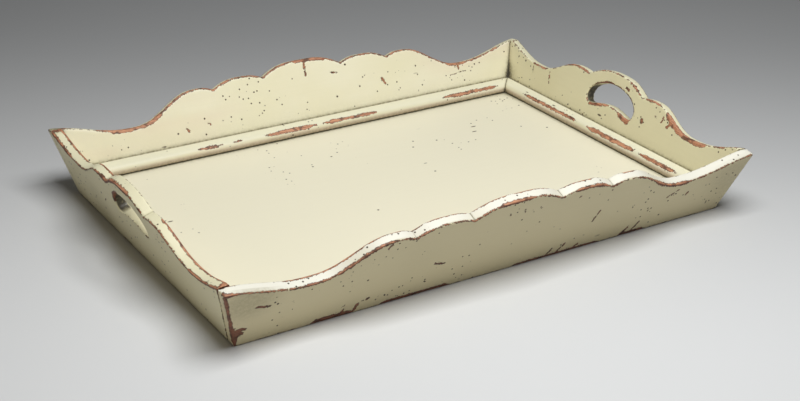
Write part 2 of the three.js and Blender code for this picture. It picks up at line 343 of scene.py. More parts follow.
def note(piece, name, values):
    """Stores one number for each point of the piece."""
    layer = piece.data.attributes.new(name, "FLOAT", "POINT")
    layer.data.foreach_set("value", np.asarray(values, dtype=np.float32))


def note_grain(piece, along, up, deep, shift):
    """Stores where each point lies in its own plank, so that a pattern follows the wood."""
    layer = piece.data.attributes.new("grain", "FLOAT_VECTOR", "POINT")
    spots = np.stack([along + shift, up + 0.37 * shift, deep], axis=1)
    layer.data.foreach_set("vector", spots.astype(np.float32).ravel())


def fade(value, start, end):
    """0 before start, 1 after end and smooth between."""
    t = np.clip((value - start) / (end - start), 0, 1)
    return t * t * (3 - 2 * t)


def shade(distance, darkness, reach):
    """Glaze that is darkest at a line and falls away from it."""
    return darkness * np.exp(-distance / reach)


# ------------------------------------------------------------------ outlines


def knots_both_ways(knots, tip):
    right = knots + [tip]
    left = [(-at, height, -leave, -arrive) for at, height, arrive, leave in right[:0:-1]]
    return left + right


def top_edge_points(knots, splay):
    """Bezier points of a board's outline: place, handle before and handle after."""
    first, last = knots[0], knots[-1]
    rows = [(first[0] - BEYOND, -BEYOND), (first[0] - BEYOND, first[1])]
    points = [(spot, spot, spot) for spot in rows]
    for i, (at, height, arrive, leave) in enumerate(knots):
        before = HANDLE_SHARE * (at - knots[i - 1][0]) if i else 0
        after = HANDLE_SHARE * (knots[i + 1][0] - at) if i + 1 < len(knots) else 0
        points.append(
            (
                (at, height),
                (at - before, height - before * arrive),
                (at + after, height + after * leave),
            )
        )
    rows = [(last[0] + BEYOND, last[1]), (last[0] + BEYOND, -BEYOND)]
    points += [(spot, spot, spot) for spot in rows]
    return [[(x, y / cos(splay)) for x, y in trio] for trio in points]


def hold_points(splay):
    points = []
    for at, height, back_x, back_y, on_x, on_y in HOLD_EDGE:
        trio = ((at, height), (at + back_x, height + back_y), (at + on_x, height + on_y))
        points.append([(x, y / cos(splay)) for x, y in trio])
    return points


def fill_spline(spline, points):
    spline.bezier_points.add(len(points) - 1)
    spline.use_cyclic_u = True
    for knot, (spot, before, after) in zip(spline.bezier_points, points):
        knot.handle_left_type = "FREE"
        knot.handle_right_type = "FREE"
        knot.co = (spot[0] * MM, spot[1] * MM, 0)
        knot.handle_left = (before[0] * MM, before[1] * MM, 0)
        knot.handle_right = (after[0] * MM, after[1] * MM, 0)


def plank_from_outlines(name, outlines, thickness):
    """Flat plank cut to closed outlines, its outer face up at zero and its body below."""
    bpy.ops.object.select_all(action="DESELECT")
    bpy.ops.curve.primitive_bezier_circle_add()
    piece = bpy.context.object
    piece.name = name
    curve = piece.data
    curve.dimensions = "2D"
    curve.fill_mode = "BOTH"
    curve.resolution_u = 16
    curve.extrude = thickness / 2
    curve.splines.remove(curve.splines[0])
    for outline in outlines:
        fill_spline(curve.splines.new("BEZIER"), outline)
    take(piece)
    bpy.ops.object.convert(target="MESH")
    piece = bpy.context.object
    piece.location.z = -thickness / 2
    bpy.ops.object.transform_apply(location=True, rotation=True, scale=True)
    edit(piece)
    bpy.ops.mesh.remove_doubles(threshold=0.01 * MM)
    bpy.ops.mesh.normals_make_consistent(inside=False)
    done()
    return piece


# ------------------------------------------------------------------ arrises and wear

SAMPLE_STEP = 0.8
SHARP = 25  # degrees an edge has to turn by to be an arris
FOOT_SLACK = 1
END_SLACK = 1.5
TAPER_START = 0.35  # the share of its width that an arris row starts with
TAPER_LENGTH = 9  # the run in which it would widen by its whole width
SOUND_PAINT = -6.0  # noted where no bare place is near
NO_PATCH = -40.0
PATCH_SKIN = 0.4  # how deep below its face a patch still has its full width
PATCH_DROP = 1.5  # how fast it closes below that

# The zone of the hand-hold's arrises: half width, bottom, top at its sides and the rise of its arch.
HOLD_HALF = 47
HOLD_BOTTOM = 45
HOLD_SHOULDER = 62
HOLD_ARCH = 28


def arris_samples(piece):
    """Points along the sharp edges: those that stand out, and those that turn in."""
    body = bmesh.new()
    body.from_mesh(piece.data)
    proud, inward = [], []
    for edge in body.edges:
        if len(edge.link_faces) != 2 or edge.calc_face_angle() < math.radians(SHARP):
            continue
        start, end = edge.verts[0].co, edge.verts[1].co
        count = max(1, round((end - start).length / (SAMPLE_STEP * MM)))
        target = proud if edge.is_convex else inward
        target += [start.lerp(end, (i + 0.5) / count) for i in range(count)]
    body.free()
    return proud, inward


def tree_of(samples):
    tree = kdtree.KDTree(len(samples))
    for i, spot in enumerate(samples):
        tree.insert(spot, i)
    tree.balance()
    return tree


def arris_name(spot, has_hold, end_at):
    side = "inner" if spot.z < -BOARD * MM / 2 else "outer"
    if spot.y < FOOT_SLACK * MM:
        return "foot " + side
    if abs(spot.x) > end_at(spot.y) - END_SLACK * MM:
        return ("low end " if spot.x < 0 else "high end ") + side
    arch = HOLD_SHOULDER + HOLD_ARCH * (1 - (spot.x / (HOLD_HALF * MM)) ** 2)
    in_hold = abs(spot.x) < HOLD_HALF * MM and HOLD_BOTTOM * MM < spot.y < arch * MM
    if has_hold and in_hold:
        return "hold " + side
    return "top " + side


def arris_amounts(samples, rows, has_hold, end_at):
    """How far in from each arris sample the paint has gone, in millimetres."""
    amounts = np.empty(len(samples))
    for i, spot in enumerate(samples):
        name = arris_name(spot, has_hold, end_at)
        place = (spot.y if " end " in name else spot.x) / MM
        amount = JOINTED_ARRIS if has_hold and " end " in name else BARE_ARRIS[name]
        for row, start, end, width in rows:
            if row == name and start < place < end:
                nearness = min(place - start, end - place)
                amount = max(amount, width * min(1, TAPER_START + nearness / TAPER_LENGTH))
        amounts[i] = amount
    return amounts


def patch_field(along, height, deep, patches):
    """Largest of: half width less the distance to the patch's line, in millimetres."""
    field = np.full(len(along), NO_PATCH)
    for face, x0, y0, x1, y1, reach in patches:
        off = deep if face == "outer" else BOARD - deep
        start = np.array([x0, y0], dtype=float)
        run = np.array([x1 - x0, y1 - y0], dtype=float)
        flat = np.stack([along, height], axis=1) - start
        t = np.clip(flat @ run / (run @ run), 0, 1)
        gap = np.hypot(*(flat - t[:, None] * run).T)
        below = PATCH_DROP * np.maximum(off - PATCH_SKIN, 0)
        field = np.maximum(field, reach - np.hypot(gap, below))
    return field


def smudge_field(along, height, deep, smudges):
    """Grime at each point: clouds on one face, 1.4 times as long as high, whole in their middle fifth."""
    field = np.zeros(len(along))
    for face, x, y, reach, strength in smudges:
        off = deep if face == "outer" else BOARD - deep
        gap = np.hypot(along - x, 1.4 * (height - y))
        field += strength * (1 - fade(gap, 0.2 * reach, reach)) * (off < BOARD / 2)
    return field


def nearest(points, samples, amounts):
    """Distance to the nearest arris sample in millimetres, and the amount noted there."""
    tree = tree_of(samples)
    gaps = np.empty(len(points))
    found = np.empty(len(points))
    for i, spot in enumerate(points):
        _, index, gap = tree.find(spot)
        gaps[i] = gap / MM
        found[i] = amounts[index]
    return gaps, found


# ------------------------------------------------------------------ boards

BOARD_VOXEL = 1.6
BOARD_SANDING = 3
BOARD_RUB = 0.5
RUBBED_FROM = -0.6  # the worn values between which the wood goes from untouched to rubbed down
RUBBED_TO = 2.2


def hand_finish(piece, voxel, passes):
    """Rounds every arris as sanding does, and leaves the faces flat."""
    blocking = piece.modifiers.new("blocking", "REMESH")
    blocking.mode = "VOXEL"
    blocking.voxel_size = voxel * MM
    blocking.use_smooth_shade = True
    apply_modifier(piece, blocking)
    sanding = piece.modifiers.new("sanding", "SMOOTH")
    sanding.factor = 0.5
    sanding.iterations = passes
    apply_modifier(piece, sanding)


def rub_down(piece, worn, depth):
    """Takes wood off where the paint has gone, deepest in the middle of a bare place."""
    group = piece.vertex_groups.new(name="rubbed")
    weights = fade(worn, RUBBED_FROM, RUBBED_TO)
    for index in np.flatnonzero(weights > 0.01):
        group.add([int(index)], float(weights[index]), "REPLACE")
    rubbing = piece.modifiers.new("rubbing", "DISPLACE")
    rubbing.strength = -depth * MM
    rubbing.mid_level = 0
    rubbing.vertex_group = "rubbed"
    apply_modifier(piece, rubbing)
    piece.vertex_groups.clear()


def plane_by_hand(piece):
    """Leaves the slight hollows and swellings that a hand plane does."""
    unevenness = bpy.data.textures.new(piece.name + "_unevenness", "CLOUDS")
    unevenness.noise_scale = 22 * MM
    unevenness.noise_depth = 2
    planing = piece.modifiers.new("planing", "DISPLACE")
    planing.texture = unevenness
    planing.texture_coords = "LOCAL"
    planing.strength = 0.35 * MM
    planing.mid_level = 0.5
    apply_modifier(piece, planing)


def leaning(splay, stand, turn):
    lean = Matrix.Rotation(math.radians(90 + splay), 4, "X")
    step_out = Matrix.Translation((0, -stand * MM, 0))
    return Matrix.Rotation(math.radians(turn), 4, "Z") @ step_out @ lean


def set_in_place(piece, place):
    piece.matrix_world = place
    take(piece)
    bpy.ops.object.transform_apply(location=True, rotation=True, scale=True)


def saw_by_tray_plane(piece, place, point, away):
    """Cuts a flat plank by a plane given where the board will stand, in front."""
    back = place.inverted()
    saw(piece, back @ (Vector(point) * MM), (back.to_3x3() @ Vector(away)).normalized())


def sand_corners(piece, place, tip_across, tip_out):
    for side in (-1, 1):
        tip = (side * tip_across, -tip_out, CORNER_HEIGHT)
        saw_by_tray_plane(piece, place, tip, (side * CORNER_RISE, -CORNER_RISE, 1))


def square_ends(piece, place, foot, splay):
    for side in (-1, 1):
        saw_by_tray_plane(piece, place, (side * foot, 0, 0), (side * cos(splay), 0, -sin(splay)))


def trimmed_arrises(piece, place, foot, splay):
    """Arris samples of the board as it will be once its ends are cut."""
    take(piece)
    bpy.ops.object.duplicate()
    pattern = bpy.context.object
    square_ends(pattern, place, foot, splay)
    samples = arris_samples(pattern)
    take(pattern)
    bpy.ops.object.delete()
    return samples


def glaze_and_shade_near_inner_corners(along, height, deep, neighbour_splay, neighbour_foot, corner_shade):
    """Glaze wiped into the seam over the moulding and into the corners between two boards, with painted
    shade spreading wider from both.
    """
    above_crown = height - CROWN_HEIGHT
    off_crown = np.abs(above_crown)
    # A thin glaze line at the seam over the moulding, and a wider painted shade about it.
    crown_line = shade(off_crown, darkness=0.42, reach=1.6) + shade(off_crown, darkness=0.2, reach=14)
    wall = neighbour_foot + height * tan(neighbour_splay)
    from_wall = np.abs(wall - np.abs(along))
    at_low_end, at_high_end = corner_shade
    strength = np.where(along > 0, at_high_end, at_low_end)
    wider_at_crown = 1 + shade(off_crown, darkness=0.8, reach=14)
    paler_above = 0.3 + shade(np.maximum(above_crown, 0), darkness=0.7, reach=16)
    # In each corner a thin glaze line, and a wider painted shade, widest at the crown and weaker above it.
    corners = shade(from_wall, darkness=0.3 + 0.25 * paler_above, reach=1.3 * wider_at_crown)
    corners = corners + shade(from_wall, darkness=strength * paler_above, reach=5 * wider_at_crown)
    return fade(deep, BOARD - 3, BOARD - 1) * np.maximum(crown_line, corners)


def shade_in_hold(along, height, deep, turn):
    """Painted shade on the cut wall of the hand-hold, darkest in one end."""
    in_the_cut = fade(deep, 0.5, 2.5) * (1 - fade(deep, BOARD - 2.5, BOARD - 0.5))
    side = along if turn > 0 else -along
    lobe = fade(side, 24, 44) * (1 - fade(side, 47, 50)) * (1 - fade(height, 74, 90))
    return in_the_cut * (0.85 * lobe + 0.12 * (np.abs(along) < 50))


def board(name, long_board, turn, rows, patches, smudges, corner_shade, shift):
    """One side board, made flat with its outer face up and then stood in its place."""
    if long_board:
        splay, neighbour_splay = SIDE_SPLAY, END_SPLAY
        stand, end_foot, neighbour_foot = BASE_WIDTH / 2, BASE_LENGTH / 2, inner_x(0)
        across, out = outer_x(CORNER_HEIGHT), outer_y(CORNER_HEIGHT)
        tip = (across, CORNER_HEIGHT, SIDE_TIP_SLOPE, 0)
        outlines = [top_edge_points(knots_both_ways(SIDE_EDGE, tip), splay)]
    else:
        splay, neighbour_splay = END_SPLAY, SIDE_SPLAY
        stand, end_foot, neighbour_foot = BASE_LENGTH / 2, inner_y(0) - GLUE_GAP, inner_y(0)
        across, out = outer_y(CORNER_HEIGHT), outer_x(CORNER_HEIGHT)
        meeting = CORNER_HEIGHT + CORNER_RISE * SIDE_THROUGH
        tip = (inner_y(CORNER_HEIGHT), meeting, END_TIP_SLOPE, 0)
        outlines = [top_edge_points(knots_both_ways(END_EDGE, tip), splay), hold_points(splay)]
    piece = plank_from_outlines(name, outlines, BOARD * MM)
    front = leaning(splay, stand, 0)
    saw_by_tray_plane(piece, front, (0, 0, 0), (0, 0, -1))
    sand_corners(piece, front, across, out)
    proud, inward = trimmed_arrises(piece, front, end_foot, neighbour_splay)
    if long_board:
        square_ends(piece, front, end_foot, neighbour_splay)
    hand_finish(piece, BOARD_VOXEL, BOARD_SANDING)
    if not long_board:
        square_ends(piece, front, end_foot, neighbour_splay)

    def end_at(up):
        return end_foot * MM + up * cos(splay) * tan(neighbour_splay)

    points = points_of(piece)
    gaps, amounts = nearest(points, proud, arris_amounts(proud, rows, not long_board, end_at))
    along = points[:, 0] / MM
    deep = -points[:, 2] / MM
    height = points[:, 1] / MM * cos(splay) + deep * sin(splay)
    worn = np.maximum(amounts - gaps, patch_field(along, height, deep, patches))
    worn = np.maximum(worn, SOUND_PAINT)

    glaze_and_shade = glaze_and_shade_near_inner_corners(along, height, deep, neighbour_splay, neighbour_foot, corner_shade)
    # The outer faces darken towards the foot.
    outside = 1 - fade(deep, BOARD - 3, BOARD - 1)
    glaze_and_shade = glaze_and_shade + 0.16 * outside * (1 - fade(height, 2, 34))
    if not long_board:
        glaze_and_shade = np.maximum(glaze_and_shade, shade_in_hold(along, height, deep, turn))
    # Painted shade and grime in the notches where the scallops of the top edge meet.
    notch_gaps, _ = nearest(points, inward, np.zeros(len(inward)))
    notches = shade(notch_gaps, darkness=0.8, reach=0.6) + shade(notch_gaps, darkness=0.2, reach=4)
    glaze_and_shade = np.clip(np.maximum(glaze_and_shade, notches) + smudge_field(along, height, deep, smudges), 0, 1)

    note_grain(piece, points[:, 0], points[:, 1], points[:, 2], shift)
    note(piece, "worn", worn)
    note(piece, "glaze_and_shade", glaze_and_shade)
    rub_down(piece, worn, BOARD_RUB)
    plane_by_hand(piece)
    set_in_place(piece, leaning(splay, stand, turn))
    return piece


# ------------------------------------------------------------------ moulding and floor

MOULDING_VOXEL = 1.1
MOULDING_SANDING = 2
MOULDING_RUB = 0.4
NOSE_PLACE = (0.16, 0.82)  # where the nose wears first, as shares of the moulding's width and height
NOSE_TAPER_START = 0.4  # the share of its width that a bare stretch starts with
NOSE_TAPER_LENGTH = 16  # the run in which it comes to its whole width
FLOOR_GRID = (200, 130)
FLOOR_SHIFT = 4.0  # keeps the floor's pattern off those of the boards
UNDERSIDE_GLAZE = 0.2


def moulding_points(splay):
    reach = MOULDING_WIDTH + MOULDING_HEIGHT * tan(splay) - GLUE_GAP
    heel = MOULDING_WIDTH + GLUE_GAP * tan(splay) - GLUE_GAP
    foot, heel_spot = (0, GLUE_GAP), (heel, GLUE_GAP)
    crown = (reach, MOULDING_HEIGHT)
    over_crown = (reach * (1 - MOULDING_CROWN), MOULDING_HEIGHT)
    under_nose = (0, MOULDING_HEIGHT * MOULDING_NOSE)
    return [(foot, under_nose, foot), (heel_spot, heel_spot, heel_spot), (crown, crown, over_crown)]


def moulding(name, long_run, turn, patches, shift):
    """One strip of quarter-round, mitred at both ends and laid along the foot of its board."""
    if long_run:
        splay, neighbour_splay = SIDE_SPLAY, END_SPLAY
        across, out, stop = FLOOR_CORNER_X, FLOOR_CORNER_Y, inner_x(0) - GLUE_GAP
    else:
        splay, neighbour_splay = END_SPLAY, SIDE_SPLAY
        across, out, stop = FLOOR_CORNER_Y, FLOOR_CORNER_X, inner_y(0) - GLUE_GAP
    crown_out = MOULDING_WIDTH + MOULDING_HEIGHT * tan(splay)
    crown_across = MOULDING_WIDTH + MOULDING_HEIGHT * tan(neighbour_splay)
    length = 2 * (across + BEYOND)
    piece = plank_from_outlines(name, [moulding_points(splay)], length * MM)
    piece.location.z = length * MM / 2
    bpy.ops.object.transform_apply(location=True, rotation=True, scale=True)
    hand_finish(piece, MOULDING_VOXEL, MOULDING_SANDING)
    basis = Matrix(((0, 0, -1, 0), (-1, 0, 0, 0), (0, 1, 0, 0), (0, 0, 0, 1)))
    front = Matrix.Translation((0, -out * MM, FLOOR_HEIGHT * MM)) @ basis
    for side in (-1, 1):
        away = Vector((side * crown_out, crown_across, 0)).normalized()
        corner = Vector((side * across, -out, 0)) - away * GLUE_GAP / 2
        saw_by_tray_plane(piece, front, corner, away)
        wall = (side * cos(neighbour_splay), 0, -sin(neighbour_splay))
        saw_by_tray_plane(piece, front, (side * stop, 0, 0), wall)

    points = points_of(piece) / MM
    inwards, up, along = points[:, 0], points[:, 1], -points[:, 2]
    off_nose = np.hypot(inwards - NOSE_PLACE[0] * crown_out, up - NOSE_PLACE[1] * MOULDING_HEIGHT)
    worn = np.full(len(points), SOUND_PAINT)
    for start, end, reach in patches:
        into = np.minimum(along - start, end - along)
        taper = NOSE_TAPER_START + (1 - NOSE_TAPER_START) * fade(into, 0, NOSE_TAPER_LENGTH)
        worn = np.maximum(worn, np.where(into > 0, reach * taper - off_nose, SOUND_PAINT))
    from_board = np.maximum(crown_out - GLUE_GAP - inwards, 0)
    seam = shade(from_board, darkness=0.6, reach=0.9) * (up > MOULDING_HEIGHT - 2)
    quirk = shade(np.maximum(up - GLUE_GAP, 0), darkness=0.85, reach=1.1)
    from_mitre = (across - np.abs(along)) * crown_out + np.maximum(inwards, 0) * crown_across
    from_mitre = np.abs(from_mitre) / math.hypot(crown_out, crown_across)
    mitre = shade(from_mitre, darkness=0.8, reach=1.2)
    # Painted shade on the lower part of the nose.
    shaded_lower_half = 0.38 * (1 - fade(up, 4, 9))
    glaze_and_shade = np.clip(np.maximum.reduce([seam, quirk, mitre]) + shaded_lower_half, 0, 1)

    note_grain(piece, along * MM, up * MM, inwards * MM, shift)
    note(piece, "worn", worn)
    note(piece, "glaze_and_shade", glaze_and_shade)
    rub_down(piece, worn, MOULDING_RUB)
    plane_by_hand(piece)
    set_in_place(piece, Matrix.Rotation(math.radians(turn), 4, "Z") @ front)
    return piece


def floor_panel():
    half_x = (inner_x(FLOOR_HEIGHT - PANEL) + FLOOR_TUCK) * MM
    half_y = (inner_y(FLOOR_HEIGHT - PANEL) + FLOOR_TUCK) * MM
    bpy.ops.object.select_all(action="DESELECT")
    bpy.ops.mesh.primitive_grid_add(x_subdivisions=FLOOR_GRID[0], y_subdivisions=FLOOR_GRID[1], size=2)
    piece = bpy.context.object
    piece.name = "painted_floor_panel"
    piece.scale = (half_x, half_y, 1)
    piece.location.z = FLOOR_HEIGHT * MM
    bpy.ops.object.transform_apply(location=True, rotation=True, scale=True)
    thickness = piece.modifiers.new("thickness", "SOLIDIFY")
    thickness.thickness = PANEL * MM
    thickness.offset = -1
    apply_modifier(piece, thickness)
    edit(piece)
    bpy.ops.mesh.normals_make_consistent(inside=False)
    done()
    points = points_of(piece) / MM
    top = points[:, 2] > FLOOR_HEIGHT - PANEL / 2
    edge_x = FLOOR_CORNER_X - np.abs(points[:, 0])
    edge_y = FLOOR_CORNER_Y - np.abs(points[:, 1])
    to_edge = np.maximum(np.minimum(edge_x, edge_y), 0)
    to_corner = np.maximum(edge_x + edge_y, 0)
    # A thin glaze line where the floor meets the moulding, and painted shade spreading from it and from
    # the corners.
    glaze_and_shade = shade(to_edge, darkness=0.5, reach=2) + shade(to_edge, darkness=0.22, reach=10)
    glaze_and_shade = glaze_and_shade + shade(to_corner, darkness=0.35, reach=14)
    note_grain(piece, points[:, 0] * MM, points[:, 1] * MM, points[:, 2] * MM, FLOOR_SHIFT)
    note(piece, "worn", np.full(len(points), SOUND_PAINT))
    note(piece, "glaze_and_shade", np.clip(np.where(top, glaze_and_shade, UNDERSIDE_GLAZE), 0, 1))
    plane_by_hand(piece)
    return piece


# ------------------------------------------------------------------ finishes


def colour(red, green, blue):
    return (red, green, blue, 1.0)


# One cream in lit and shaded copies: the back and the floor are painted lighter for their light, the front
# and the right darker for their shade.
CREAM = colour(0.78, 0.72, 0.475)
AGED_CREAM = colour(0.67, 0.61, 0.35)
LIT_BACK_CREAM = colour(0.84, 0.785, 0.59)
SHADED_RIGHT_CREAM = colour(0.72, 0.655, 0.41)
SHADED_RIGHT_AGED_CREAM = colour(0.62, 0.555, 0.31)
SHADED_FRONT_CREAM = colour(0.7, 0.615, 0.385)
SHADED_FRONT_AGED_CREAM = colour(0.6, 0.52, 0.3)
LIT_FLOOR_CREAM = colour(0.78, 0.72, 0.53)
LIT_FLOOR_AGED_CREAM = colour(0.72, 0.66, 0.43)
MOULDING_CREAM = colour(0.73, 0.685, 0.49)
LIT_TOP_CREAM = colour(0.775, 0.735, 0.605)
SHADED_NOSE = colour(0.6, 0.435, 0.33)
PINK = colour(0.78, 0.61, 0.46)

# Paint by place: the cream and its aged tone, the tone painted for the light on faces that lie up, the
# tone of faces that stand (a painted shade on the moulding's nose), how much pink comes through, and how
# spotless it is (above zero there are fewer flecks).
PAINTS = {
    "front": (SHADED_FRONT_CREAM, SHADED_FRONT_AGED_CREAM, LIT_TOP_CREAM, SHADED_FRONT_CREAM, 0.3, -0.02),
    "back": (LIT_BACK_CREAM, CREAM, CREAM, CREAM, 0.5, -0.015),
    "left": (CREAM, AGED_CREAM, CREAM, CREAM, 0.4, -0.01),
    "right": (SHADED_RIGHT_CREAM, SHADED_RIGHT_AGED_CREAM, CREAM, CREAM, 0.2, -0.015),
    "moulding": (MOULDING_CREAM, AGED_CREAM, MOULDING_CREAM, SHADED_NOSE, 0.6, 0.05),
    "floor": (LIT_FLOOR_CREAM, LIT_FLOOR_AGED_CREAM, LIT_FLOOR_CREAM, LIT_FLOOR_CREAM, 0.12, 0.09),
}

# Colours of the glaze, which also stand for painted shade.
THIN_GLAZE_AND_SHADE = colour(0.3, 0.26, 0.14)
THICK_GLAZE_AND_SHADE = colour(0.05, 0.042, 0.03)
FLECK = colour(0.06, 0.032, 0.015)
RIM = colour(0.06, 0.03, 0.02)
# The bare wood painted as lit and as shaded, each with a light and a dark fibre.
LIT_WOOD = (colour(0.58, 0.275, 0.145), colour(0.27, 0.1, 0.048))
SHADED_WOOD = (colour(0.3, 0.12, 0.065), colour(0.13, 0.052, 0.03))
STEEL = colour(0.42, 0.42, 0.4)
RUST = colour(0.2, 0.1, 0.05)

# Sockets of a colour mix that share their names with others and are told apart by place.
MIX_AMOUNT, MIX_FIRST, MIX_SECOND, MIX_RESULT = 0, 6, 7, 2


class Finish:
    """A material being mixed: each call adds one node and gives back what it puts out."""

    def __init__(self, name):
        self.material = bpy.data.materials.new(name)
        self.material.use_nodes = True
        self.tree = self.material.node_tree
        self.shader = self.tree.nodes["Principled BSDF"]

    def feed(self, socket, value):
        if isinstance(value, bpy.types.NodeSocket):
            self.tree.links.new(value, socket)
        else:
            socket.default_value = value

    def attribute(self, name, output):
        node = self.tree.nodes.new("ShaderNodeAttribute")
        node.attribute_name = name
        return node.outputs[output]

    def sums(self, kind, first, second=0.0):
        node = self.tree.nodes.new("ShaderNodeMath")
        node.operation = kind
        self.feed(node.inputs[0], first)
        self.feed(node.inputs[1], second)
        return node.outputs[0]

    def about_zero(self, value, spread):
        """Turns a noise that lies about a half into a swing of this spread about zero."""
        return self.sums("MULTIPLY", self.sums("SUBTRACT", value, 0.5), spread)

    def stretched(self, vector, scale):
        node = self.tree.nodes.new("ShaderNodeMapping")
        self.feed(node.inputs["Vector"], vector)
        node.inputs["Scale"].default_value = scale
        return node.outputs[0]

    def noise(self, vector, scale, detail=2.0, roughness=0.5):
        node = self.tree.nodes.new("ShaderNodeTexNoise")
        self.feed(node.inputs["Vector"], vector)
        node.inputs["Scale"].default_value = scale
        node.inputs["Detail"].default_value = detail
        node.inputs["Roughness"].default_value = roughness
        return node.outputs[0]

    def cells(self, vector, scale):
        node = self.tree.nodes.new("ShaderNodeTexVoronoi")
        self.feed(node.inputs["Vector"], vector)
        node.inputs["Scale"].default_value = scale
        return node.outputs["Distance"]

    def step(self, value, start, end, low=0.0, high=1.0):
        """Goes smoothly from low to high while the value goes from start to end."""
        node = self.tree.nodes.new("ShaderNodeMapRange")
        node.interpolation_type = "SMOOTHSTEP"
        for socket, given in zip(node.inputs, (value, start, end, low, high)):
            self.feed(socket, given)
        return node.outputs[0]

    def blend(self, amount, first, second):
        node = self.tree.nodes.new("ShaderNodeMix")
        node.data_type = "RGBA"
        self.feed(node.inputs[MIX_AMOUNT], amount)
        self.feed(node.inputs[MIX_FIRST], first)
        self.feed(node.inputs[MIX_SECOND], second)
        return node.outputs[MIX_RESULT]

    def relief(self, height, depth):
        node = self.tree.nodes.new("ShaderNodeBump")
        node.inputs["Distance"].default_value = depth
        self.feed(node.inputs["Height"], height)
        self.feed(self.shader.inputs["Normal"], node.outputs[0])


def dark_flecks(finish, grain, spotless):
    """Spattered dots in clusters, lone dots and short nicks."""
    cloud = finish.noise(grain, scale=17, detail=2, roughness=0.5)
    clusters = finish.step(cloud, 0.545 + spotless, 0.585 + spotless)
    close_flecks = finish.step(finish.cells(grain, scale=140), 0.13, 0.175, low=1.0, high=0.0)
    close_flecks = finish.sums("MULTIPLY", close_flecks, clusters)
    cloud = finish.noise(grain, scale=8, detail=1, roughness=0.5)
    scattered = finish.step(cloud, 0.43 + spotless, 0.47 + spotless)
    lone_flecks = finish.step(finish.cells(grain, scale=50), 0.058, 0.078, low=1.0, high=0.0)
    lone_flecks = finish.sums("MULTIPLY", lone_flecks, scattered)
    flecks = finish.sums("MAXIMUM", close_flecks, lone_flecks)
    nicks = finish.cells(finish.stretched(grain, (21, 62, 62)), scale=1)
    nicks = finish.step(nicks, 0.07, 0.1, low=0.9, high=0.0)
    nick_gate = finish.step(finish.noise(grain, scale=11, detail=1, roughness=0.5), 0.6, 0.63)
    return finish.sums("MAXIMUM", flecks, finish.sums("MULTIPLY", nicks, nick_gate))


def torn_field(finish, grain, worn):
    """The worn field with ragged borders; the wood is bare where it is above zero."""
    tear = finish.about_zero(finish.noise(grain, scale=250, detail=5, roughness=0.7), spread=7.0)
    drift = finish.about_zero(finish.noise(grain, scale=34, detail=2, roughness=0.5), spread=2.2)
    bite = finish.about_zero(finish.noise(grain, scale=900, detail=2, roughness=0.5), spread=1.2)
    return finish.sums("ADD", worn, finish.sums("ADD", tear, finish.sums("ADD", drift, bite)))


def rubbed_wood(finish, grain, fibre, upward, edge):
    """Red-brown wood, in painted shade where it stands and in painted light where it lies up, in a dark
    rim.
    """
    fibre_tone = finish.step(fibre, 0.4, 0.66)
    lit_copy = finish.blend(fibre_tone, *LIT_WOOD)
    shaded_copy = finish.blend(fibre_tone, *SHADED_WOOD)
    wood = finish.blend(finish.step(upward, -0.1, 0.55), shaded_copy, lit_copy)
    blotches = finish.noise(grain, scale=110, detail=3, roughness=0.6)
    stain = finish.step(blotches, 0.34, 0.54, low=0.2, high=1.0)
    clean = finish.sums("MULTIPLY", finish.step(edge, 0.1, 0.95), stain)
    return finish.blend(clean, RIM, wood)


